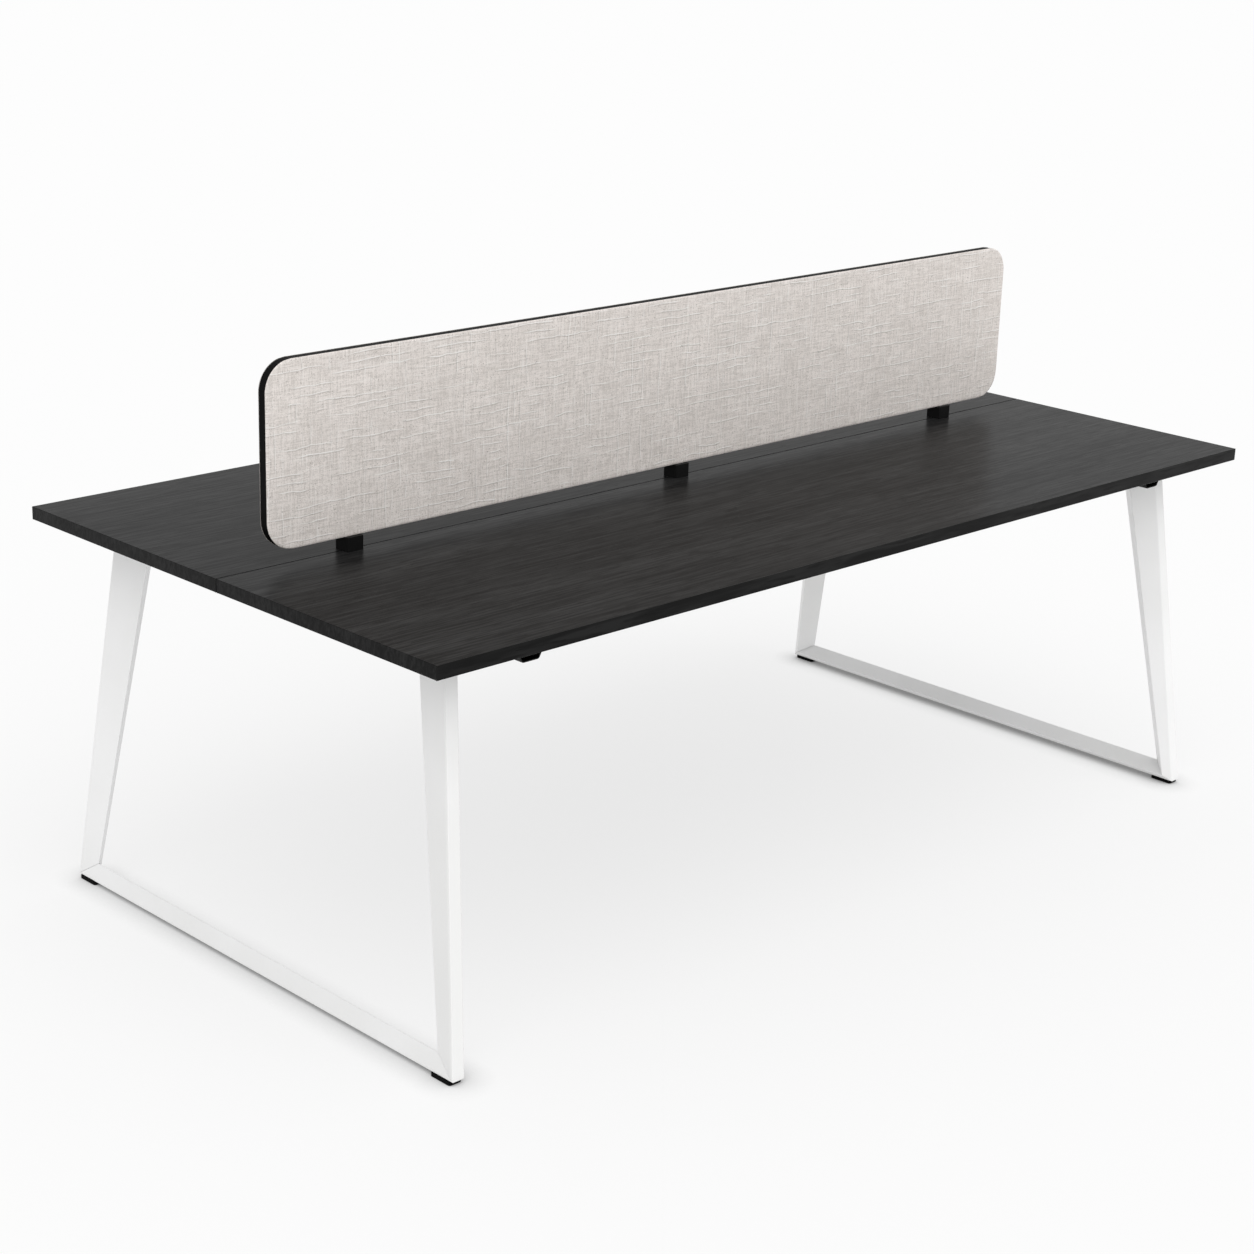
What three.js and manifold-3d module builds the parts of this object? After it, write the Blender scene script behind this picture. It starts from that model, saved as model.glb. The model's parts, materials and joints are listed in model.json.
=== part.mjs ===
// Benching desk for two: two tops side by side on splayed end frames, with a fabric screen between.
// Millimetres, +Z up. X runs along the desk, Y across it, and the origin is on the floor at the middle.
import * as THREE from 'three';
import { mergeVertices } from 'three/addons/utils/BufferGeometryUtils.js';
import Module from 'manifold-3d';

const wasm = await Module();
wasm.setup();

const vec2 = (x, y) => new THREE.Vector2(x, y);
const vec3 = (x, y, z) => new THREE.Vector3(x, y, z);

// Tops
const deskLength = 2200;
const deskHeight = 750;
const topDepth = 575;
const topThickness = 25;
const topSeam = 2;
const edgeStrip = 2;
const edgeStripRound = 1.2;

// Gaps between pieces, and how far a cutter runs past a face
const touchGap = 0.3;
const holeGap = 0.3;
const tongueGap = 0.3;
const cutPast = 1;

// Legs and floor rails: a five-sided tapered tube, leaning in from the rail's corner
const railFromEnd = 55;
const railFromSide = 20;
const railHeight = 34;
const legLeanEnd = 53;
const legLeanSide = 89;
const legWall = 2;
const legOuterFlat = 25.5;
const legEndFlat = 6;
const legDepthFoot = 46;
const legDepthHead = 90;
const legFlankAngle = 12;
const legShoulderAngle = 53;
const legBackAngle = 46;
const legEdgeRound = 2;
const innerEdgeRound = 0.8;

// Levelling feet
const padWidth = 27;
const padLength = 50;
const padHeight = 7.5;
const padRound = 4;
const padBevel = 0.8;
const footFromCorner = 30;
const studDiameter = 8;
const studProud = 5;
const insertDiameter = 11;
const insertHeight = 11;

// Head plates, and the screws from them into the tops
const headPlate = 6;
const headPlateMargin = 3;
const screwDiameter = 4.5;
const screwHeadDiameter = 9;
const screwHeadHeight = 2.5;
const screwCover = 9;
const screwFromBeam = 90;

// Beams, their end brackets and bolts
const beamSpacing = 460;
const beamWidth = 40;
const beamHeight = 50;
const beamWall = 2;
const beamRound = 3;
const bracketWidth = 60;
const bracketFlange = 50;
const bracketPlate = 4;
const boltDiameter = 8;
const boltHeadDiameter = 13;
const boltHeadHeight = 5;

// Support arms across the tops
const armTopWidth = 70;
const armBottomWidth = 36;
const armDepth = 30;
const armWall = 2;
const armRound = 3;
const armFromSide = 45;
const armFromPlate = 28;

// Screen
const screenFromEnd = 100;
const screenHeight = 332;
const screenGap = 27;
const screenCorner = 55;
const trimInset = 0.6;
const trimWall = 4;
const trimRound = 0.8;
const coreThickness = 18;
const fabricThickness = 1.2;

// Screen posts, with the clamp plates and pins under the tops
const postWidth = 36;
const postDepth = 36;
const postRound = 3;
const tongueWidth = 16;
const tongueReach = 30;
const tongueEnd = 4;
const clampLength = 26;
const clampDepth = 40;
const clampPlate = 5;
const clampFromArm = 2;
const pinDiameter = 5;
const pinBeyond = 5;
const pinHeadDiameter = 9;
const pinHeadHeight = 3;

// Facets on round pieces
const roundSides = 16;
const cornerSteps = 10;

// Heights and places that follow from the sizes above
const topUnderside = deskHeight - topThickness;
const topOffset = (topSeam + topDepth) / 2;
const railBottom = padHeight + touchGap;
const cornerEnd = deskLength / 2 - railFromEnd;
const cornerSide = topSeam / 2 + topDepth - railFromSide;
const plateTop = topUnderside - touchGap;
const plateBottom = plateTop - headPlate;
const legTop = plateBottom - touchGap;
const legHeadEnd = cornerEnd - legLeanEnd;
const legHeadSide = cornerSide - legLeanSide;
const headSection = legSection(legDepthHead);
const plateOuter = legHeadEnd + headPlateMargin;
const plateInner = legHeadEnd - Math.max(...headSection.map((p) => p.x)) - headPlateMargin;
const plateSide = legHeadSide + headPlateMargin;
const armBottom = plateTop - armDepth;
const armEnd = plateInner - armFromPlate - armTopWidth / 2;
const armSide = topSeam / 2 + topDepth - armFromSide;
const beamTop = armBottom - touchGap;
const beamSide = beamSpacing / 2;
const beamEnd = plateInner - touchGap;
const boltEnd = plateInner + (bracketPlate + bracketFlange) / 2;
const screwEnd = (plateInner + plateOuter) / 2;
const postEnd = armEnd - armTopWidth / 2 - clampFromArm - clampLength / 2;
const screenBottom = deskHeight + screenGap;
const tongue = topSeam - 2 * tongueGap;
const clampBottom = plateTop - clampPlate;
const pinLength = clampDepth + 2 * pinBeyond;
const pinHeight = clampBottom - touchGap - pinDiameter / 2;

// Materials
function paint(color, roughness, metalness) {
  return new THREE.MeshStandardMaterial({ color, roughness, metalness });
}
const woodDark = () => paint(0x474645, 0.6, 0);
const edgeDark = () => paint(0x2b2a2a, 0.55, 0);
const frameWhite = () => paint(0xeceae7, 0.45, 0.1);
const steelBlack = () => paint(0x1c1c1d, 0.5, 0.2);
const steelZinc = () => paint(0xa9abad, 0.35, 0.9);
const plasticBlack = () => paint(0x161616, 0.6, 0);
const linen = () => paint(0xcdc8c3, 0.95, 0);
const board = () => paint(0x9a8f80, 0.85, 0);

// The ends and sides of the desk, by name and by sign along X and Y
const ends = [['left', -1], ['right', 1]];
const sides = [['front', -1], ['back', 1]];
const posts = [['left', -postEnd], ['middle', 0], ['right', postEnd]];

// A leg's section as inward distances from its outer corner: x along the desk, y across it
function legSection(depth) {
  const flank = THREE.MathUtils.degToRad(legFlankAngle);
  const shoulder = THREE.MathUtils.degToRad(legShoulderAngle);
  const back = THREE.MathUtils.degToRad(legBackAngle);
  const crown = vec2(Math.tan(flank) * (depth - legEndFlat), depth);
  const outer = vec2(legOuterFlat, 0);
  const along = vec2(Math.cos(shoulder), Math.sin(shoulder));
  const heel = crossing(outer, along, crown, vec2(Math.cos(back), -Math.sin(back)));
  return [vec2(0, 0), outer, heel, crown, vec2(0, legEndFlat)];
}

// Where the line through a along u meets the line through b along v
function crossing(a, u, b, v) {
  const along = b.clone().sub(a).cross(v) / u.cross(v);
  return a.clone().addScaledVector(u, along);
}

// A convex outline, counter-clockwise, moved inwards by a wall
function insetOutline(points, wall) {
  return points.map((point, i) => {
    const before = point.clone().sub(points.at(i - 1)).normalize();
    const after = points[(i + 1) % points.length].clone().sub(point).normalize();
    const a = point.clone().add(vec2(-before.y, before.x).multiplyScalar(wall));
    const b = point.clone().add(vec2(-after.y, after.x).multiplyScalar(wall));
    return crossing(a, before, b, after);
  });
}

// An outline with each corner eased: three points on a curve that starts and ends at the setback
function easeOutline(points, setback) {
  return points.flatMap((point, i) => {
    const towards = (other) => other.clone().sub(point).setLength(setback).add(point);
    const start = towards(points.at(i - 1));
    const end = towards(points[(i + 1) % points.length]);
    const middle = start.clone().add(end).multiplyScalar(0.25).addScaledVector(point, 0.5);
    return [start, middle, end];
  });
}

// A rectangle about the origin as an outline, counter-clockwise
function rectangle(width, height) {
  const x = width / 2;
  const y = height / 2;
  return [vec2(-x, -y), vec2(x, -y), vec2(x, y), vec2(-x, y)];
}

// A rectangle about the origin with round corners, as an outline
function roundRectangle(width, height, radius) {
  const shape = new THREE.Shape();
  const x = width / 2 - radius;
  const y = height / 2 - radius;
  shape.absarc(x, y, radius, 0, Math.PI / 2);
  shape.absarc(-x, y, radius, Math.PI / 2, Math.PI);
  shape.absarc(-x, -y, radius, Math.PI, 1.5 * Math.PI);
  shape.absarc(x, -y, radius, 1.5 * Math.PI, 2 * Math.PI);
  return shape.curves.filter((curve) => curve.isEllipseCurve).flatMap((arc) => arc.getPoints(cornerSteps));
}

// A closed surface through rings of equal point counts; the last ring joins the first again
function ringSolid(rings) {
  const count = rings[0].length;
  const positions = rings.flat().flatMap((p) => [p.x, p.y, p.z]);
  const indices = [];
  rings.forEach((ring, r) => {
    const a = r * count;
    const b = ((r + 1) % rings.length) * count;
    ring.forEach((point, i) => {
      const j = (i + 1) % count;
      indices.push(a + i, a + j, b + j, a + i, b + j, b + i);
    });
  });
  const geometry = new THREE.BufferGeometry();
  geometry.setAttribute('position', new THREE.Float32BufferAttribute(positions, 3));
  geometry.setIndex(indices);
  return facingOut(geometry);
}

// The same surface with its faces turned outwards
function facingOut(geometry) {
  const position = geometry.getAttribute('position');
  const index = geometry.getIndex();
  const corner = (i) => vec3().fromBufferAttribute(position, index.getX(i));
  let volume = 0;
  for (let i = 0; i < index.count; i += 3) {
    volume += corner(i).dot(corner(i + 1).cross(corner(i + 2)));
  }
  if (volume < 0) {
    for (let i = 0; i < index.count; i += 3) {
      const second = index.getX(i + 1);
      index.setX(i + 1, index.getX(i + 2));
      index.setX(i + 2, second);
    }
  }
  geometry.computeVertexNormals();
  return geometry;
}

// A straight tube with open ends between two places that map an outline's points into space
function tube(outer, inner, placeStart, placeEnd) {
  return ringSolid([outer.map(placeStart), outer.map(placeEnd), inner.map(placeEnd), inner.map(placeStart)]);
}

// An outline extruded along +Z from the origin
function prism(outline, depth) {
  return new THREE.ExtrudeGeometry(new THREE.Shape(outline), { depth, bevelEnabled: false, steps: 1 });
}

// A box between two opposite corners
function block(low, high) {
  const size = high.clone().sub(low);
  const centre = low.clone().add(high).multiplyScalar(0.5);
  return new THREE.BoxGeometry(size.x, size.y, size.z).translate(centre.x, centre.y, centre.z);
}

// An upright cylinder between two heights
function rod(diameter, bottom, top, x = 0, y = 0) {
  const geometry = new THREE.CylinderGeometry(diameter / 2, diameter / 2, top - bottom, roundSides);
  return geometry.rotateX(Math.PI / 2).translate(x, y, (top + bottom) / 2);
}

// A headed fastener: its head sits below zero height and its shank rises from it
function headedRod(shank, length, head, headHeight) {
  const profile = [
    vec2(0, -headHeight), vec2(head / 2, -headHeight), vec2(head / 2, 0),
    vec2(shank / 2, 0), vec2(shank / 2, length), vec2(0, length),
  ];
  return new THREE.LatheGeometry(profile, roundSides).rotateX(Math.PI / 2);
}

function toSolid(geometry) {
  const bare = geometry.clone();
  bare.deleteAttribute('normal');
  bare.deleteAttribute('uv');
  const merged = mergeVertices(bare);
  return new wasm.Manifold(new wasm.Mesh({
    numProp: 3,
    vertProperties: new Float32Array(merged.getAttribute('position').array),
    triVerts: new Uint32Array(merged.getIndex().array),
  }));
}

function toGeometry(solid) {
  const mesh = solid.getMesh();
  const geometry = new THREE.BufferGeometry();
  geometry.setAttribute('position', new THREE.BufferAttribute(mesh.vertProperties, 3));
  geometry.setIndex(new THREE.BufferAttribute(mesh.triVerts, 1));
  geometry.computeVertexNormals();
  return geometry;
}

function cut(geometry, cutters) {
  return toGeometry(cutters.reduce((solid, cutter) => solid.subtract(toSolid(cutter)), toSolid(geometry)));
}

function join(geometries) {
  return toGeometry(geometries.map(toSolid).reduce((whole, piece) => whole.add(piece)));
}

function addMesh(group, name, geometry, material, x = 0, y = 0, z = 0) {
  const mesh = new THREE.Mesh(geometry, material);
  mesh.name = name;
  mesh.position.set(x, y, z);
  group.add(mesh);
}

// Places of the screws along Y on one side of the desk
const screwSides = [['inner', beamSide - screwFromBeam], ['outer', beamSide + screwFromBeam]];

function buildTop(sideName, side) {
  const group = new THREE.Group();
  group.position.set(0, side * topOffset, topUnderside);
  const length = deskLength - 2 * (edgeStrip + touchGap);
  const depth = topDepth - 2 * (edgeStrip + touchGap);
  const holeTop = topThickness - screwCover;
  const holes = ends.flatMap(([, end]) => screwSides.map(([, across]) => (
    rod(screwDiameter + 2 * holeGap, -cutPast, holeTop, end * screwEnd, side * (across - topOffset))
  )));
  const core = block(vec3(-length / 2, -depth / 2, 0), vec3(length / 2, depth / 2, topThickness));
  addMesh(group, `top_${sideName}_core`, cut(core, holes), woodDark());
  const long = prism(stripProfile(), deskLength);
  const short = prism(stripProfile(), depth);
  const strips = [
    ['outer', long, side, 0], ['seam', long, -side, 0], ['left', short, 0, -1], ['right', short, 0, 1],
  ];
  for (const [name, geometry, across, along] of strips) {
    const strip = geometry.clone().rotateX(Math.PI / 2);
    strip.rotateZ(Math.atan2(across, along));
    const start = along ? vec3(0, along * depth / 2, 0) : vec3(-across * deskLength / 2, 0, 0);
    const edge = along ? vec3(along * deskLength / 2, 0, 0) : vec3(0, across * topDepth / 2, 0);
    addMesh(group, `top_${sideName}_edge_${name}`, strip, edgeDark(), ...start.add(edge));
  }
  return group;
}

// An edge strip's section: its outer face at zero, eased at the top and bottom
function stripProfile() {
  const r = edgeStripRound;
  const shape = new THREE.Shape();
  shape.moveTo(-edgeStrip, 0);
  shape.lineTo(-r, 0);
  shape.absarc(-r, r, r, -Math.PI / 2, 0);
  shape.lineTo(0, topThickness - r);
  shape.absarc(-r, topThickness - r, r, 0, Math.PI / 2);
  shape.lineTo(-edgeStrip, topThickness);
  return shape.getPoints(3);
}

// One corner's leg: edge lines from the foot's section to the head's, cut by the slanted mitre below
function legLines(section) {
  const start = section(legDepthFoot);
  const end = section(legDepthHead);
  return start.map((p, i) => ({
    foot: vec3(p.x, p.y, railBottom),
    head: vec3(end[i].x + legLeanEnd, end[i].y + legLeanSide, legTop),
  }));
}

const outerSection = (depth) => easeOutline(legSection(depth), legEdgeRound);
const innerSection = (depth) => easeOutline(insetOutline(legSection(depth), legWall), innerEdgeRound);

// The mitre rises across the desk from the rail's outer corner to the crown of the leg
const crownFoot = legSection(legDepthFoot)[3];
const crownLean = (legLeanSide + legDepthHead - legDepthFoot) / (legTop - railBottom);
const mitreSlope = railHeight / (crownFoot.y + crownLean * railHeight);

function mitrePoints(lines, lift) {
  return lines.map(({ foot, head }) => {
    const run = head.clone().sub(foot);
    const share = (mitreSlope * foot.y + lift) / (run.z - mitreSlope * run.y);
    return foot.clone().addScaledVector(run, share);
  });
}

function buildLeg(end, side) {
  const place = (p) => vec3(end * (cornerEnd - p.x), side * (cornerSide - p.y), p.z);
  const outer = legLines(outerSection);
  const inner = legLines(innerSection);
  return ringSolid([
    mitrePoints(outer, 2 * touchGap).map(place), outer.map((line) => place(line.head)),
    inner.map((line) => place(line.head)), mitrePoints(inner, 2 * touchGap).map(place),
  ]);
}

// The stud stands under the crown of the rail
const studIn = mitrePoints([{ foot: vec3(crownFoot.x, crownFoot.y, railBottom), head: crownHead() }], 0)[0].x;

function crownHead() {
  const crown = headSection[3];
  return vec3(crown.x + legLeanEnd, crown.y + legLeanSide, legTop);
}

const footEnd = cornerEnd - studIn;
const footSide = cornerSide - footFromCorner;

function buildRail(end) {
  const place = (side) => (p) => vec3(end * (cornerEnd - p.x), side * (cornerSide - p.y), p.z);
  const outer = mitrePoints(legLines(outerSection), 0);
  const inner = mitrePoints(legLines(innerSection), 0);
  const holeSize = insertDiameter + 2 * holeGap;
  const holes = sides.map(([, side]) => (
    rod(holeSize, railBottom - cutPast, railBottom + insertHeight, end * footEnd, side * footSide)
  ));
  return cut(tube(outer, inner, place(-1), place(1)), holes);
}

function buildFoot() {
  const outline = roundRectangle(padWidth - 2 * padBevel, padLength - 2 * padBevel, padRound);
  const pad = new THREE.ExtrudeGeometry(new THREE.Shape(outline), {
    depth: padHeight - 2 * padBevel, bevelThickness: padBevel, bevelSize: padBevel, bevelSegments: 1,
  });
  pad.translate(0, 0, padBevel);
  const stud = rod(studDiameter, padHeight / 2, railBottom + insertHeight + studProud);
  return join([pad, stud]);
}

function buildInsert() {
  const bore = studDiameter + 2 * holeGap;
  return cut(rod(insertDiameter, 0, insertHeight), [rod(bore, -cutPast, insertHeight + cutPast)]);
}

function buildHeadPlate(end) {
  const plate = block(vec3(plateInner, -plateSide, plateBottom), vec3(plateOuter, plateSide, plateTop));
  const hole = (size, x, y) => rod(size + 2 * holeGap, plateBottom - cutPast, plateTop + cutPast, x, y);
  const holes = sides.flatMap(([, side]) => [
    hole(boltDiameter, boltEnd, side * beamSide),
    ...screwSides.map(([, across]) => hole(screwDiameter, screwEnd, side * across)),
  ]);
  return facingOut(cut(plate, holes).scale(end, 1, 1));
}

function buildFrame(endName, end) {
  const group = new THREE.Group();
  addMesh(group, `floor_rail_${endName}`, buildRail(end), frameWhite());
  addMesh(group, `head_plate_${endName}`, buildHeadPlate(end), frameWhite());
  for (const [sideName, side] of sides) {
    const corner = `${sideName}_${endName}`;
    const foot = [end * footEnd, side * footSide];
    addMesh(group, `leg_${corner}`, buildLeg(end, side), frameWhite());
    addMesh(group, `foot_${corner}`, buildFoot(), plasticBlack(), ...foot, 0);
    addMesh(group, `foot_insert_${corner}`, buildInsert(), steelZinc(), ...foot, railBottom);
    for (const [place, across] of screwSides) {
      const length = plateTop + touchGap + topThickness - screwCover - touchGap - plateBottom;
      const screw = headedRod(screwDiameter, length, screwHeadDiameter, screwHeadHeight);
      const at = [end * screwEnd, side * across, plateBottom - touchGap];
      addMesh(group, `top_screw_${corner}_${place}`, screw, steelZinc(), ...at);
    }
  }
  return group;
}

function buildBracket() {
  const drop = legTop - (beamTop - beamHeight);
  const outline = [
    vec2(0, 0), vec2(bracketFlange, 0), vec2(bracketFlange, -bracketPlate),
    vec2(bracketPlate, -bracketPlate), vec2(bracketPlate, -drop), vec2(0, -drop),
  ];
  const bracket = prism(outline.reverse(), bracketWidth).rotateX(Math.PI / 2);
  bracket.translate(0, bracketWidth / 2, 0);
  const hole = rod(boltDiameter + 2 * holeGap, -bracketPlate - cutPast, cutPast, boltEnd - plateInner, 0);
  return cut(bracket, [hole]);
}

function buildBeams() {
  const group = new THREE.Group();
  const outer = easeOutline(rectangle(beamWidth, beamHeight), beamRound);
  const inner = easeOutline(rectangle(beamWidth - 2 * beamWall, beamHeight - 2 * beamWall), innerEdgeRound);
  const place = (end) => (p) => vec3(end * beamEnd, p.x, p.y - beamHeight / 2);
  for (const [sideName, side] of sides) {
    const y = side * beamSide;
    addMesh(group, `beam_${sideName}`, tube(outer, inner, place(-1), place(1)), steelBlack(), 0, y, beamTop);
    for (const [endName, end] of ends) {
      const corner = `${sideName}_${endName}`;
      const bracket = facingOut(buildBracket().scale(end, 1, 1));
      addMesh(group, `beam_bracket_${corner}`, bracket, steelBlack(), end * plateInner, y, legTop);
      const seat = legTop - bracketPlate - touchGap;
      const bolt = headedRod(boltDiameter, plateTop - touchGap - seat, boltHeadDiameter, boltHeadHeight);
      addMesh(group, `beam_bolt_${corner}`, bolt, steelZinc(), end * boltEnd, y, seat);
    }
  }
  return group;
}

function buildArms() {
  const group = new THREE.Group();
  const half = armDepth / 2;
  const outline = [
    vec2(-armBottomWidth / 2, -half), vec2(armBottomWidth / 2, -half),
    vec2(armTopWidth / 2, half), vec2(-armTopWidth / 2, half),
  ];
  const outer = easeOutline(outline, armRound);
  const inner = easeOutline(insetOutline(outline, armWall), innerEdgeRound);
  const place = (side) => (p) => vec3(p.x, side * armSide, p.y);
  for (const [endName, end] of ends) {
    const arm = tube(outer, inner, place(-1), place(1));
    addMesh(group, `support_arm_${endName}`, arm, steelBlack(), end * armEnd, 0, armBottom + half);
  }
  return group;
}

// The screen's outline moved inwards, about its middle
function screenOutline(inset) {
  const width = deskLength - 2 * (screenFromEnd + inset);
  return roundRectangle(width, screenHeight - 2 * inset, screenCorner - inset);
}

const uprightRing = (inset, y) => screenOutline(inset).map((p) => vec3(p.x, y, p.y));

// An upright board of the screen with its outline moved inwards, from one place across the desk
function screenBoard(inset, start, depth) {
  return prism(screenOutline(inset), depth).rotateX(Math.PI / 2).translate(0, start + depth, 0);
}

function buildTrim() {
  const half = coreThickness / 2;
  const outer = trimInset;
  const eased = trimInset + trimRound;
  const inner = trimInset + trimWall;
  return ringSolid([
    uprightRing(eased, -half), uprightRing(outer, trimRound - half), uprightRing(outer, half - trimRound),
    uprightRing(eased, half), uprightRing(inner, half), uprightRing(inner, -half),
  ]);
}

// Slots for the posts' tongues, up from the screen's lower edge
function tongueSlots() {
  const x = tongueWidth / 2 + holeGap;
  const y = tongue / 2 + holeGap;
  const bottom = -screenHeight / 2;
  return posts.map(([, along]) => (
    block(vec3(along - x, -y, bottom - cutPast), vec3(along + x, y, bottom + tongueReach + holeGap))
  ));
}

function buildPost() {
  const outline = new THREE.Shape(roundRectangle(postWidth, postDepth, postRound));
  const height = screenGap - 2 * touchGap;
  const body = new THREE.ExtrudeGeometry(outline, { depth: height, bevelEnabled: false });
  body.translate(0, 0, touchGap);
  const low = pinHeight - pinDiameter / 2 - tongueEnd - deskHeight;
  const high = screenGap + tongueReach;
  const x = tongueWidth / 2;
  const blade = block(vec3(-x, -tongue / 2, low), vec3(x, tongue / 2, high));
  const pinHole = rod(pinDiameter + 2 * holeGap, -tongue, tongue);
  pinHole.rotateX(Math.PI / 2).translate(0, 0, pinHeight - deskHeight);
  return cut(join([body, blade]), [pinHole]);
}

function buildClamp() {
  const x = tongueWidth / 2 + holeGap;
  const y = tongue / 2 + holeGap;
  const corner = vec3(clampLength / 2, clampDepth / 2, clampPlate);
  const plate = block(vec3(-corner.x, -corner.y, 0), corner);
  return cut(plate, [block(vec3(-x, -y, -cutPast), vec3(x, y, clampPlate + cutPast))]);
}

function buildScreen() {
  const group = new THREE.Group();
  const panel = new THREE.Group();
  panel.position.set(0, 0, screenBottom + screenHeight / 2);
  group.add(panel);
  const slots = tongueSlots();
  const coreInset = trimInset + trimWall + touchGap;
  const core = screenBoard(coreInset, -coreThickness / 2, coreThickness);
  addMesh(panel, 'screen_core', cut(core, slots), board());
  const faceStart = coreThickness / 2 + touchGap;
  const fabric = { front: -faceStart - fabricThickness, back: faceStart };
  for (const [sideName] of sides) {
    const face = screenBoard(0, fabric[sideName], fabricThickness);
    addMesh(panel, `screen_fabric_${sideName}`, face, linen());
  }
  addMesh(panel, 'screen_trim', cut(buildTrim(), slots), plasticBlack());
  for (const [name, along] of posts) {
    addMesh(group, `screen_post_${name}`, buildPost(), steelBlack(), along, 0, deskHeight);
    addMesh(group, `screen_clamp_${name}`, buildClamp(), steelBlack(), along, 0, clampBottom);
    const pin = headedRod(pinDiameter, pinLength, pinHeadDiameter, pinHeadHeight).rotateX(-Math.PI / 2);
    addMesh(group, `screen_pin_${name}`, pin, steelZinc(), along, -pinLength / 2, pinHeight);
  }
  return group;
}

const desk = new THREE.Group();
sides.forEach(([name, side]) => desk.add(buildTop(name, side)));
ends.forEach(([name, end]) => desk.add(buildFrame(name, end)));
desk.add(buildBeams(), buildArms(), buildScreen());

export default desk;
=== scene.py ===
"""Looks of the benching desk: a finish for every piece, the screen's cloth faces, light and camera."""

from __future__ import annotations

import json
import logging
import math
from dataclasses import dataclass
from enum import Enum

import bpy
import numpy as np
from mathutils import Matrix, Vector

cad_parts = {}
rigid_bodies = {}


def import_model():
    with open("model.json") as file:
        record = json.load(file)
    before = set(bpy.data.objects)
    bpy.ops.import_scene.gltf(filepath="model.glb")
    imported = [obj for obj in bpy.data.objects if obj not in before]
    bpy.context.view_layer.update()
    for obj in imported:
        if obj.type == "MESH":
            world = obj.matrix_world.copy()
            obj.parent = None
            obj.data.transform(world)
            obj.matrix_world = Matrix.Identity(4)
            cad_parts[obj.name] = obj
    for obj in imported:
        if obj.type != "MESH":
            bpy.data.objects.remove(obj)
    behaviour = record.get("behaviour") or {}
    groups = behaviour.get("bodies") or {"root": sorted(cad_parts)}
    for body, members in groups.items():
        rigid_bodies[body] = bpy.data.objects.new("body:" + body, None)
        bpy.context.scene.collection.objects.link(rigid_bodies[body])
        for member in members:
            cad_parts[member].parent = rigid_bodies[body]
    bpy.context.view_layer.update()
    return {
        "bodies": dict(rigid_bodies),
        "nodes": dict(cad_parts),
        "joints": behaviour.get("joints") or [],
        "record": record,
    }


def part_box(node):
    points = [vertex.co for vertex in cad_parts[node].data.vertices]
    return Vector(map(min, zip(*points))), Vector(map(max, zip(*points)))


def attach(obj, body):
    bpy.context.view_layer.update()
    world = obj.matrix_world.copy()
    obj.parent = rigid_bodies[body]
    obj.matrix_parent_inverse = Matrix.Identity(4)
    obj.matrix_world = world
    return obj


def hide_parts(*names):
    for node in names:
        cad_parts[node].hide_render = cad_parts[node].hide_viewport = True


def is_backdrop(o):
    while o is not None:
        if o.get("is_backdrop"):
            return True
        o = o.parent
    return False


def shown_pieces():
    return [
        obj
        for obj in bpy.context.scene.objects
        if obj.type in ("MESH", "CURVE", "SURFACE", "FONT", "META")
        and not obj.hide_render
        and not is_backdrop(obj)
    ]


log = logging.getLogger("desk")

PHOTO_PIXELS = 1254
SENSOR_MM = 36.0
WHITE = (1.0, 1.0, 1.0, 1.0)
WAVE_RADIANS = 20.0  # a Wave texture's phase for each unit of its scaled coordinate

Scale = tuple[float, float, float]


class Side(Enum):
    """A side of the desk."""

    FRONT = "front"
    BACK = "back"


@dataclass(frozen=True)
class Colour:
    """A colour as the eye sees it on screen, from 0 to 255."""

    red: float
    green: float
    blue: float

    def linear(self) -> tuple[float, float, float, float]:
        """Returns the colour in linear light, with full alpha."""
        return (*(self._channel(c / 255) for c in (self.red, self.green, self.blue)), 1.0)

    @staticmethod
    def _channel(value: float) -> float:
        """Turns one screen value from 0 to 1 into linear light by the sRGB curve.

        Args:
            value: the screen value.

        Returns:
            The linear value.
        """
        if value <= 0.04045:
            return value / 12.92
        return ((value + 0.055) / 1.055) ** 2.4


class Link:
    """A node's output that can be joined to others with plain arithmetic."""

    def __init__(self, graph: Graph, socket: bpy.types.NodeSocket) -> None:
        """Keeps the graph that the output belongs to, and the output."""
        self.graph = graph
        self.socket = socket

    def __add__(self, other: Link | float) -> Link:
        """Returns the sum."""
        return self.graph.math("ADD", self, other)

    def __mul__(self, other: Link | float) -> Link:
        """Returns the product."""
        return self.graph.math("MULTIPLY", self, other)

    __radd__ = __add__
    __rmul__ = __mul__

    def above(self, low: float, high: float) -> Link:
        """Turns the value into a soft step.

        Args:
            low: where the step starts to rise.
            high: where it is full.

        Returns:
            A value from 0 to 1.
        """
        inputs = {"Value": self, "From Min": low, "From Max": high}
        return self.graph.node("ShaderNodeMapRange", inputs, interpolation_type="SMOOTHSTEP")


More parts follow.
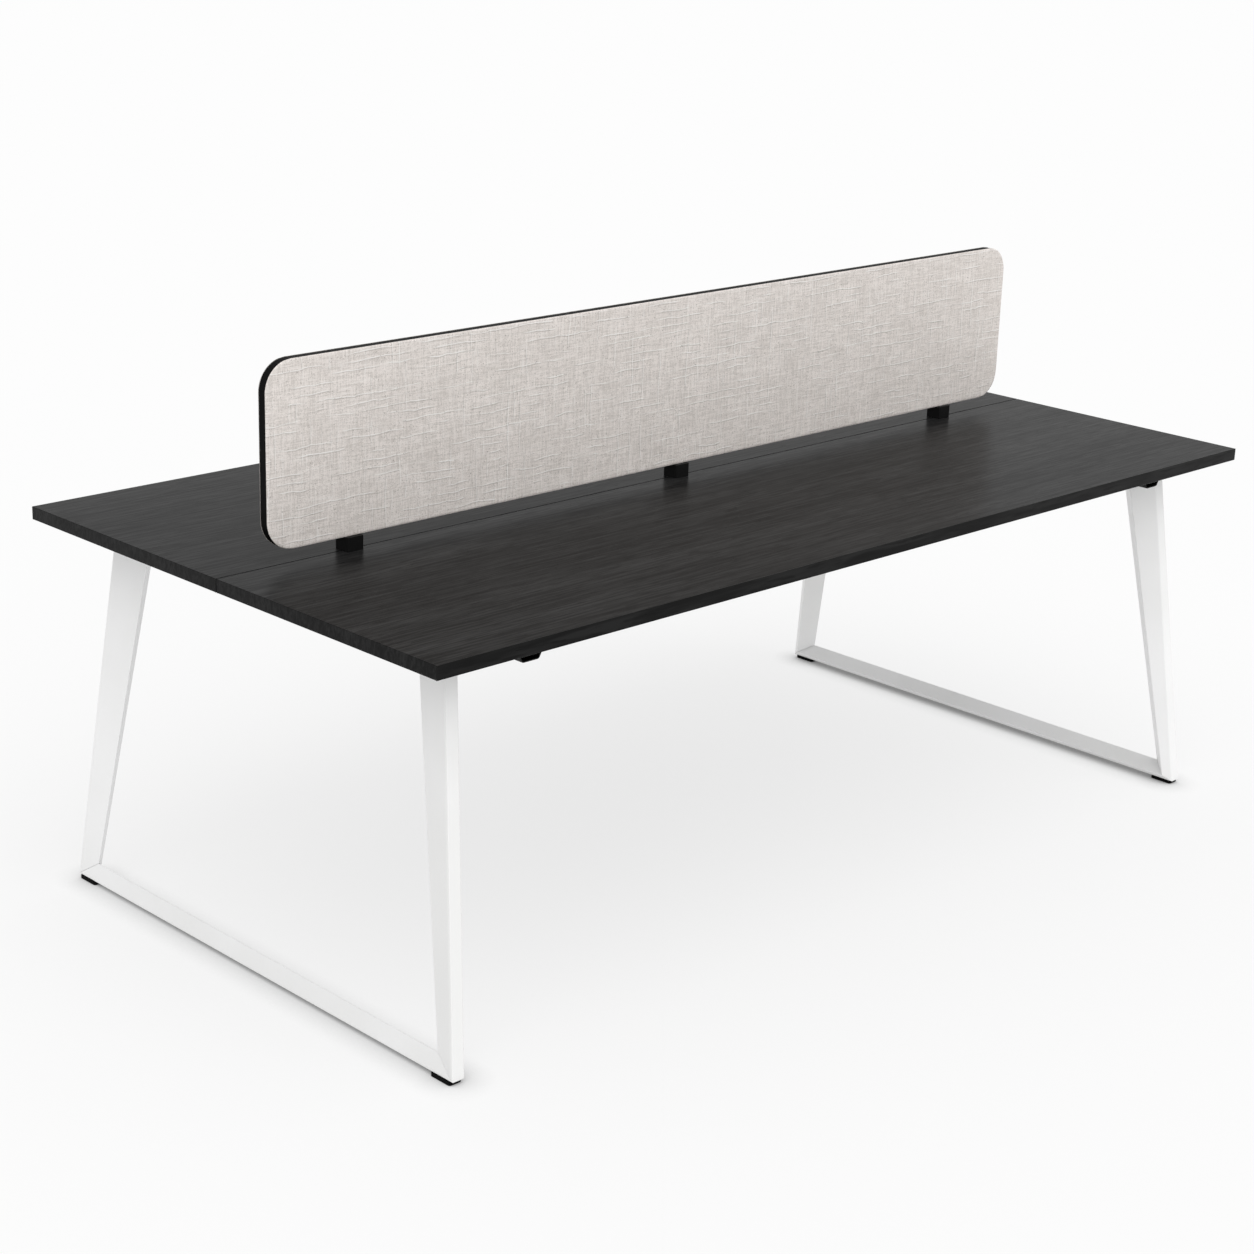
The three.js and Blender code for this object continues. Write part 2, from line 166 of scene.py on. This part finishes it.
class Graph:
    """A node tree built by calls."""

    def __init__(self, tree: bpy.types.NodeTree) -> None:
        """Keeps the tree that nodes are added to."""
        self.tree = tree

    def node(self, kind: str, inputs: dict | None = None, output: int | str = 0, **settings) -> Link:
        """Adds a node.

        Args:
            kind: the name of the node type.
            inputs: socket names or places, with links or plain values for them.
            output: the name or place of the output to return.
            settings: attributes of the node, which are set first.

        Returns:
            The chosen output.
        """
        made = self.tree.nodes.new(kind)
        for key, value in settings.items():
            setattr(made, key, value)
        for key, value in (inputs or {}).items():
            self.put(made.inputs[key], value)
        return Link(self, made.outputs[output])

    def put(self, socket: bpy.types.NodeSocket, value: Link | float | tuple) -> None:
        """Gives an input its value.

        Args:
            socket: the input.
            value: a link to join to it, or a value to set on it.
        """
        if isinstance(value, Link):
            self.tree.links.new(value.socket, socket)
        else:
            socket.default_value = value

    def math(self, operation: str, a: Link | float, b: Link | float) -> Link:
        """Adds a Math node.

        Args:
            operation: what the node works out.
            a: the first operand.
            b: the second operand.

        Returns:
            The result.
        """
        return self.node("ShaderNodeMath", {0: a, 1: b}, operation=operation)


class MaterialGraph(Graph):
    """The node tree of one material, around one Principled shader."""

    def __init__(self, name: str) -> None:
        """Makes a material of the given name that has only its shader and output."""
        self.material = bpy.data.materials.new(name)
        self.material.use_nodes = True
        super().__init__(self.material.node_tree)
        self.tree.nodes.clear()
        self.shader = self.tree.nodes.new("ShaderNodeBsdfPrincipled")
        output = self.tree.nodes.new("ShaderNodeOutputMaterial")
        self.tree.links.new(self.shader.outputs["BSDF"], output.inputs["Surface"])

    def noise(self, scale: Scale, detail: float, bend: float = 0.0) -> Link:
        """Adds noise on the object's own coordinates.

        Args:
            scale: cycles per metre along X, Y and Z.
            detail: how many finer layers the noise has.
            bend: how far the noise is distorted.

        Returns:
            A value from 0 to 1.
        """
        point = self.node("ShaderNodeTexCoord", output="Object")
        place = self.node("ShaderNodeMapping", {"Vector": point, "Scale": scale})
        inputs = {"Vector": place, "Scale": 1.0, "Detail": detail, "Distortion": bend}
        return self.node("ShaderNodeTexNoise", inputs)

    def threads(self, across: str, spacing: float, stray: float, shift: float = 0.0) -> Link:
        """Adds wavy lines on the object's own coordinates.

        Args:
            across: the axis that they lie across.
            spacing: the distance from one to the next, in metres.
            stray: how far they wander, in radians of their spacing.
            shift: how far they are moved down their axis, in radians of their spacing.

        Returns:
            A value from 0 between the lines to 1 on them.
        """
        inputs = {
            "Vector": self.node("ShaderNodeTexCoord", output="Object"),
            "Scale": 2 * math.pi / (WAVE_RADIANS * spacing),
            "Distortion": stray,
            "Detail": 3.0,
            "Detail Scale": 0.8,
            "Phase Offset": shift,
        }
        return self.node("ShaderNodeTexWave", inputs, "Fac", bands_direction=across)

    def blend(self, amount: Link, low: Colour | Link, high: Colour | Link) -> Link:
        """Mixes two colours.

        Args:
            amount: the share of the second colour, from 0 to 1.
            low: the first colour.
            high: the second colour.

        Returns:
            The mixed colour.
        """
        ends = [c.linear() if isinstance(c, Colour) else c for c in (low, high)]
        mix = {0: amount, 6: ends[0], 7: ends[1]}
        return self.node("ShaderNodeMix", mix, output=2, data_type="RGBA")

    def bump(self, height: Link, distance: float, strength: float = 1.0) -> Link:
        """Turns a height into a bumped normal.

        Args:
            height: the height, from 0 to 1.
            distance: the full height in metres.
            strength: how much of the bump is used.

        Returns:
            The normal.
        """
        inputs = {"Height": height, "Distance": distance, "Strength": strength}
        return self.node("ShaderNodeBump", inputs, output="Normal")

    def finish(self, **sockets: Link | float | tuple) -> bpy.types.Material:
        """Sets the shader.

        Args:
            sockets: the shader's inputs, with underscores for spaces in their names.

        Returns:
            The material.
        """
        for name, value in sockets.items():
            self.put(self.shader.inputs[name.replace("_", " ")], value)
        return self.material


@dataclass(frozen=True)
class Woodgrain:
    """Printed woodgrain along X: streaks, broad tone, short dark flecks, and fine pores."""

    dark: Colour
    light: Colour
    gloss: float
    streaks: Scale = (5.0, 180.0, 60.0)
    flecks: Scale = (16.0, 250.0, 120.0)
    pores: Scale = (22.0, 420.0, 160.0)
    planks: Scale = (0.45, 9.0, 3.0)
    streak_share: float = 0.7
    fleck_depth: float = 0.85
    roughness: float = 0.24
    pore_roughness: float = 0.12
    relief: float = 0.0002
    relief_strength: float = 0.4

    def material(self, name: str) -> bpy.types.Material:
        """Makes the finish.

        Args:
            name: the material's name.

        Returns:
            The material.
        """
        graph = MaterialGraph(name)
        streak = graph.noise(self.streaks, 5.0, 0.6)
        fleck = graph.noise(self.flecks, 2.0)
        pore = graph.noise(self.pores, 2.0)
        plank = graph.noise(self.planks, 3.0, 1.2)
        broad = plank.above(0.35, 0.65) * (1 - self.streak_share)
        tone = streak.above(0.34, 0.66) * self.streak_share + broad
        base = graph.blend(tone, self.dark, self.light)
        return graph.finish(
            Base_Color=graph.blend(fleck.above(0.5, 0.66) * self.fleck_depth, base, self.dark),
            Roughness=pore * self.pore_roughness + self.roughness,
            Normal=graph.bump(pore * 0.6 + streak * 0.15, self.relief, self.relief_strength),
            Specular_IOR_Level=self.gloss,
        )


@dataclass(frozen=True)
class PowderCoat:
    """Sprayed powder on steel: a fine orange peel and a trace of uneven tone."""

    low: Colour
    high: Colour
    roughness: float
    gloss: float = 0.5
    peel_per_metre: float = 420.0
    tone_per_metre: float = 3.0
    peel_roughness: float = 0.1
    relief: float = 0.0002
    relief_strength: float = 0.25

    def material(self, name: str) -> bpy.types.Material:
        """Makes the finish.

        Args:
            name: the material's name.

        Returns:
            The material.
        """
        graph = MaterialGraph(name)
        peel = graph.noise((self.peel_per_metre,) * 3, 2.0)
        tone = graph.noise((self.tone_per_metre,) * 3, 3.0)
        return graph.finish(
            Base_Color=graph.blend(tone.above(0.3, 0.7), self.low, self.high),
            Roughness=peel * self.peel_roughness + (self.roughness - self.peel_roughness / 2),
            Normal=graph.bump(peel, self.relief, self.relief_strength),
            Specular_IOR_Level=self.gloss,
        )


@dataclass(frozen=True)
class MouldedPlastic:
    """Moulded or extruded plastic with a fine spark-eroded grain and slight wear."""

    low: Colour
    high: Colour
    roughness: float
    gloss: float
    grain_per_metre: float = 900.0
    wear_per_metre: float = 14.0
    grain_roughness: float = 0.16
    relief: float = 0.00015
    relief_strength: float = 0.4

    def material(self, name: str) -> bpy.types.Material:
        """Makes the finish.

        Args:
            name: the material's name.

        Returns:
            The material.
        """
        graph = MaterialGraph(name)
        grain = graph.noise((self.grain_per_metre,) * 3, 2.0)
        wear = graph.noise((self.wear_per_metre,) * 3, 4.0)
        return graph.finish(
            Base_Color=graph.blend(wear.above(0.35, 0.75), self.low, self.high),
            Roughness=grain * self.grain_roughness + (self.roughness - self.grain_roughness / 2),
            Normal=graph.bump(grain, self.relief, self.relief_strength),
            Specular_IOR_Level=self.gloss,
        )


@dataclass(frozen=True)
class PlatedSteel:
    """Zinc-plated steel with drawn marks along Z and a cloudy tint."""

    low: Colour
    high: Colour
    cloud_per_metre: float = 60.0
    drawn: Scale = (900.0, 900.0, 90.0)
    roughness: float = 0.28
    drawn_roughness: float = 0.2
    relief: float = 0.0001
    relief_strength: float = 0.3

    def material(self, name: str) -> bpy.types.Material:
        """Makes the finish.

        Args:
            name: the material's name.

        Returns:
            The material.
        """
        graph = MaterialGraph(name)
        cloud = graph.noise((self.cloud_per_metre,) * 3, 3.0)
        drawn = graph.noise(self.drawn, 2.0)
        return graph.finish(
            Base_Color=graph.blend(cloud.above(0.3, 0.7), self.low, self.high),
            Roughness=drawn * self.drawn_roughness + self.roughness,
            Metallic=1.0,
            Normal=graph.bump(drawn, self.relief, self.relief_strength),
        )


@dataclass(frozen=True)
class RawBoard:
    """Pressed board with coarse chips."""

    low: Colour
    high: Colour
    chips_per_metre: float = 220.0
    roughness: float = 0.75
    chip_roughness: float = 0.2
    relief: float = 0.0004

    def material(self, name: str) -> bpy.types.Material:
        """Makes the finish.

        Args:
            name: the material's name.

        Returns:
            The material.
        """
        graph = MaterialGraph(name)
        chips = graph.noise((self.chips_per_metre,) * 3, 4.0, 0.8)
        return graph.finish(
            Base_Color=graph.blend(chips.above(0.35, 0.65), self.low, self.high),
            Roughness=chips * self.chip_roughness + self.roughness,
            Normal=graph.bump(chips, self.relief),
        )


@dataclass(frozen=True)
class Linen:
    """Plain-woven linen look: uneven threads both ways, raised ones painted lighter as a highlight with a
    painted shadow on one side, and dark fibres.
    """

    shade: Colour
    body: Colour
    # the colour of lighter slubs, also used as the painted highlight along raised threads
    slub_and_highlight: Colour
    # fleck is the dark fibres' colour and also the colour of the painted shadow beside raised threads
    fleck: Colour
    warp: Scale = (430.0, 40.0, 32.0)
    weft: Scale = (32.0, 40.0, 430.0)
    thick_warp: Scale = (330.0, 20.0, 17.0)
    thick_weft: Scale = (13.0, 20.0, 330.0)
    raised_weft: Scale = (11.0, 20.0, 60.0)
    raised_warp: Scale = (60.0, 20.0, 9.0)
    raised_spacing: float = 0.015
    raised_stray: float = 3.0
    # how far the painted shadow lines sit below the raised threads, in radians of their spacing
    hollow_shift: float = 0.8
    fibres: Scale = (300.0, 60.0, 520.0)
    crepe_per_metre: float = 200.0
    cloud_per_metre: float = 14.0
    roughness: float = 0.95
    gloss: float = 0.15
    sheen: float = 0.12
    relief: float = 0.0007
    relief_strength: float = 0.8

    def material(self, name: str) -> bpy.types.Material:
        """Makes the finish.

        Args:
            name: the material's name.

        Returns:
            The material.
        """
        graph = MaterialGraph(name)
        warp = graph.noise(self.warp, 2.0, 0.4)
        weft = graph.noise(self.weft, 2.0, 0.4)
        crepe = graph.noise((self.crepe_per_metre,) * 3, 2.0, 2.6)
        weave = warp * 0.3 + weft * 0.3 + crepe * 0.4
        base = graph.blend(weave.above(0.4, 0.6), self.shade, self.body)
        thick_weft = graph.noise(self.thick_weft, 2.0, 0.5)
        thick_warp = graph.noise(self.thick_warp, 2.0, 0.5)
        lines = {"spacing": self.raised_spacing, "stray": self.raised_stray}
        weft_line, warp_line = (graph.threads(axis, **lines).above(0.95, 1.0) for axis in "ZX")
        # the raised thread lines moved down a little give the painted shadow beneath each one
        lines["shift"] = self.hollow_shift
        weft_shadow, warp_shadow = (graph.threads(axis, **lines).above(0.94, 1.0) for axis in "ZX")
        weft_shown = graph.noise(self.raised_weft, 2.0).above(0.49, 0.58)
        warp_shown = graph.noise(self.raised_warp, 2.0).above(0.54, 0.64)
        # painted shadow beneath the raised threads, in the dark fibres' colour
        thread_shadows = weft_shadow * weft_shown * 0.28 + warp_shadow * warp_shown * 0.2
        shaded = graph.blend(thread_shadows, base, self.fleck)
        # raised threads painted lighter as a highlight on their tops, added to the real lighter slubs
        raised = weft_line * weft_shown + warp_line * warp_shown * 0.7
        slubs_and_highlights = thick_weft.above(0.57, 0.68) * 0.2 + thick_warp.above(0.6, 0.7) * 0.3 + raised * 0.9
        lit = graph.blend(slubs_and_highlights, shaded, self.slub_and_highlight)
        cloud = graph.noise((self.cloud_per_metre,) * 3, 3.0)
        toned = graph.blend(cloud.above(0.35, 0.7) * 0.2, lit, self.shade)
        fibre = graph.noise(self.fibres, 1.0)
        return graph.finish(
            Base_Color=graph.blend(fibre.above(0.67, 0.72) * 0.55, toned, self.fleck),
            Roughness=self.roughness,
            Normal=graph.bump(weave + slubs_and_highlights * 0.4, self.relief, self.relief_strength),
            Specular_IOR_Level=self.gloss,
            Sheen_Weight=self.sheen,
        )


class Finishes:
    """The finish of each material slot of the record."""

    def __init__(self) -> None:
        """Makes every material once."""
        by_slot = {
            "wood_dark": Woodgrain(Colour(15, 15, 15), Colour(52, 52, 52), gloss=0.022),
            "edge_dark": Woodgrain(Colour(14, 14, 14), Colour(36, 36, 36), gloss=0.06),
            "frame_white": PowderCoat(Colour(236, 236, 235), Colour(243, 243, 243), roughness=0.42),
            "steel_black": PowderCoat(Colour(10, 10, 10), Colour(17, 17, 17), roughness=0.5, gloss=0.12),
            "steel_zinc": PlatedSteel(Colour(160, 162, 165), Colour(190, 190, 188)),
            "plastic_black": MouldedPlastic(Colour(9, 9, 9), Colour(16, 16, 16), roughness=0.55, gloss=0.03),
            "linen": Linen(
                shade=Colour(213, 206, 200),
                body=Colour(244, 237, 232),
                slub_and_highlight=Colour(254, 252, 249),
                fleck=Colour(130, 121, 114),
            ),
            "board": RawBoard(Colour(128, 112, 92), Colour(176, 160, 136)),
        }
        self.made = {slot: finish.material(slot) for slot, finish in by_slot.items()}

    def apply(self, thing: bpy.types.Object, slot: str) -> None:
        """Gives a mesh object its finish.

        Args:
            thing: the mesh object.
            slot: the record's slot whose finish it takes.
        """
        thing.data.materials.clear()
        thing.data.materials.append(self.made[slot])

    def dress(self, frame: dict) -> None:
        """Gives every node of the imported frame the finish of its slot.
        """
        for part in frame["record"]["subparts"]:
            self.apply(frame["nodes"][part["node"]], part["material_slot"])


@dataclass(frozen=True)
class ScreenCloth:
    """The cloth stretched over one face of the screen, tucked in along the trim.

    The cloth is a grid: each row is as long as the rounded rectangle is wide at its height, and each
    point stands proud by a quarter circle of its distance from the edge, up to the width of the tuck.
    """

    side: Side
    columns: int = 220
    rows: int = 64
    tuck: float = 0.004
    corner: float = 0.055
    even_share: float = 0.35

    def half_length(self, z: np.ndarray, half: np.ndarray) -> np.ndarray:
        """Works out how long the cloth is at a height, shorter in the round corners by their circle.

        Args:
            z: heights from the middle.
            half: the panel's half length and half height.

        Returns:
            The half length at each height.
        """
        over = np.clip(np.abs(z) - (half[1] - self.corner), 0.0, self.corner)
        return half[0] - self.corner + np.sqrt(np.maximum(self.corner**2 - over**2, 0.0))

    def edge_distance(self, x: np.ndarray, z: np.ndarray, half: np.ndarray) -> np.ndarray:
        """Works out the distance in from the edge of the rounded rectangle.

        Args:
            x: places along the panel, from the middle.
            z: heights from the middle.
            half: the panel's half length and half height.

        Returns:
            The distance of each point from the edge.
        """
        past_x = np.abs(x) - (half[0] - self.corner)
        past_z = np.abs(z) - (half[1] - self.corner)
        outside = np.hypot(np.maximum(past_x, 0.0), np.maximum(past_z, 0.0))
        return self.corner - outside - np.minimum(np.maximum(past_x, past_z), 0.0)

    def spread(self, count: int) -> np.ndarray:
        """Spaces grid lines as a mix of even steps and a sine, so that they crowd at the ends.

        Args:
            count: how many steps there are.

        Returns:
            Places from -1 to 1.
        """
        even = np.linspace(-1.0, 1.0, count + 1)
        return self.even_share * even + (1 - self.even_share) * np.sin(even * math.pi / 2)

    def points(self, low: np.ndarray, high: np.ndarray) -> np.ndarray:
        """Works out the grid inside the box of the CAD plate.

        Args:
            low: the plate's lowest corner.
            high: the plate's highest corner.

        Returns:
            The points, row by row.
        """
        middle = (low + high) / 2
        half = (high - low)[[0, 2]] / 2
        z = self.spread(self.rows) * half[1]
        x = np.outer(self.half_length(z, half), self.spread(self.columns))
        rows = np.broadcast_to(z[:, None], x.shape)
        rise = np.clip(self.edge_distance(x, rows, half) / self.tuck, 0.0, 1.0)
        proud = np.sqrt(1.0 - (1.0 - rise) ** 2)
        face, back = (low[1], high[1]) if self.side is Side.FRONT else (high[1], low[1])
        y = back + (face - back) * proud
        return np.stack([x + middle[0], y, rows + middle[2]], axis=-1).reshape(-1, 3)

    def mesh_object(self, points: np.ndarray) -> bpy.types.Object:
        """Joins the grid into a smooth mesh whose faces point away from the screen.

        Args:
            points: the grid, row by row.

        Returns:
            The mesh object.
        """
        name = f"cloth_{self.side.value}"
        across = self.columns + 1
        start = np.arange(self.rows)[:, None] * across + np.arange(self.columns)[None, :]
        corners = [start, start + 1, start + across + 1, start + across]
        if self.side is Side.BACK:
            corners.reverse()
        faces = np.stack(corners, axis=-1).reshape(-1, 4)
        mesh = bpy.data.meshes.new(name)
        mesh.from_pydata(points.tolist(), [], faces.tolist())
        mesh.polygons.foreach_set("use_smooth", np.ones(len(faces), bool))
        mesh.update()
        made = bpy.data.objects.new(name, mesh)
        bpy.context.scene.collection.objects.link(made)
        return made

    def build(self, finishes: Finishes) -> None:
        """Makes the cloth in place of its CAD plate.

        Args:
            finishes: the materials.
        """
        node = f"screen_fabric_{self.side.value}"
        low, high = (np.array(corner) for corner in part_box(node))
        cloth = self.mesh_object(self.points(low, high))
        finishes.apply(cloth, "linen")
        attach(cloth, "desk")
        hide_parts(node)


@dataclass(frozen=True)
class Studio:
    """A pale floor without an end, an even sky and one broad soft light."""

    floor_half: float = 60.0
    floor_tone: float = 0.29
    floor_glow: float = 0.69
    # reach of the painted contact shadow on the floor
    contact: float = 0.06
    contact_samples: int = 6
    sky: float = 0.72
    backdrop: float = 0.98
    key: float = 1.15
    key_spread_deg: float = 75.0
    key_direction: Scale = (0.35, 1.0, -1.35)

    def build(self) -> None:
        """Makes the floor, the world and the light."""
        self.build_floor()
        self.build_world()
        self.build_key()
        bpy.context.scene.view_settings.view_transform = "Standard"

    def build_floor(self) -> None:
        """Makes the floor, which glows so that shadows stay light, and glows less close to what touches it
        as a painted contact shadow.
        """
        mesh = bpy.data.meshes.new("floor")
        s = self.floor_half
        mesh.from_pydata([(-s, -s, 0), (s, -s, 0), (s, s, 0), (-s, s, 0)], [], [(0, 1, 2, 3)])
        floor = bpy.data.objects.new("floor", mesh)
        bpy.context.scene.collection.objects.link(floor)
        graph = MaterialGraph("floor")
        # the glow dimmed near what touches the floor paints a contact shadow
        contact_shadow = graph.node(
            "ShaderNodeAmbientOcclusion", {"Distance": self.contact}, "AO", samples=self.contact_samples
        )
        mesh.materials.append(graph.finish(
            Base_Color=(self.floor_tone, self.floor_tone, self.floor_tone, 1.0),
            Roughness=1.0,
            Specular_IOR_Level=0.0,
            Emission_Color=graph.blend(contact_shadow, Colour(0, 0, 0), Colour(255, 255, 255)),
            Emission_Strength=self.floor_glow,
        ))
        floor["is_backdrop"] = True

    def build_world(self) -> None:
        """Makes an even sky that the camera, gloss and glass see as a white backdrop."""
        world = bpy.data.worlds.new("sky")
        bpy.context.scene.world = world
        world.use_nodes = True
        graph = Graph(world.node_tree)
        camera, glossy, through = (
            graph.node("ShaderNodeLightPath", output=f"Is {ray} Ray")
            for ray in ("Camera", "Glossy", "Transmission")
        )
        shown = graph.math("MAXIMUM", graph.math("MAXIMUM", camera, glossy), through)
        strength = {"Value": shown, "To Min": self.sky, "To Max": self.backdrop}
        background = world.node_tree.nodes["Background"]
        graph.put(background.inputs["Color"], WHITE)
        graph.put(background.inputs["Strength"], graph.node("ShaderNodeMapRange", strength))

    def build_key(self) -> None:
        """Makes the broad light from the front left."""
        light = bpy.data.lights.new("key", "SUN")
        light.energy = self.key
        light.angle = math.radians(self.key_spread_deg)
        lamp = bpy.data.objects.new("key", light)
        lamp.rotation_euler = Vector(self.key_direction).to_track_quat("-Z", "Y").to_euler()
        bpy.context.scene.collection.objects.link(lamp)


@dataclass(frozen=True)
class PhotoCamera:
    """The camera that took the photograph, as fitted to the desk's edges."""

    focal_pixels: float = 2507.85
    azimuth_deg: float = -44.77
    elevation_deg: float = 18.26
    roll_deg: float = 1.78
    place: Scale = (-3.4416, -3.3451, 2.0149)
    far: float = 200.0

    def build(self) -> None:
        """Makes the camera and gives it to the scene."""
        a, e, r = (math.radians(x) for x in (self.azimuth_deg, self.elevation_deg, self.roll_deg))
        back = Vector((math.sin(a) * math.cos(e), -math.cos(a) * math.cos(e), math.sin(e)))
        level = (-back).cross(Vector((0, 0, 1))).normalized()
        rise = level.cross(-back)
        right = level * math.cos(r) + rise * math.sin(r)
        up = rise * math.cos(r) - level * math.sin(r)
        data = bpy.data.cameras.new("camera")
        data.sensor_width = SENSOR_MM
        data.lens = self.focal_pixels / PHOTO_PIXELS * SENSOR_MM
        data.clip_end = self.far
        camera = bpy.data.objects.new("camera", data)
        turn = Matrix((right, up, back)).transposed().to_4x4()
        camera.matrix_world = Matrix.Translation(self.place) @ turn
        bpy.context.scene.collection.objects.link(camera)
        bpy.context.scene.camera = camera


def main() -> None:
    """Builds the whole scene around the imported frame."""
    logging.basicConfig(level=logging.INFO)
    for thing in list(bpy.data.objects):
        bpy.data.objects.remove(thing)
    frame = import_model()
    finishes = Finishes()
    finishes.dress(frame)
    for side in Side:
        ScreenCloth(side).build(finishes)
    Studio().build()
    PhotoCamera().build()
    bpy.context.view_layer.update()
    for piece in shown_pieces():
        log.info("%s: %s", piece.name, piece.data.materials[0].name)


if __name__ == "__main__":
    main()
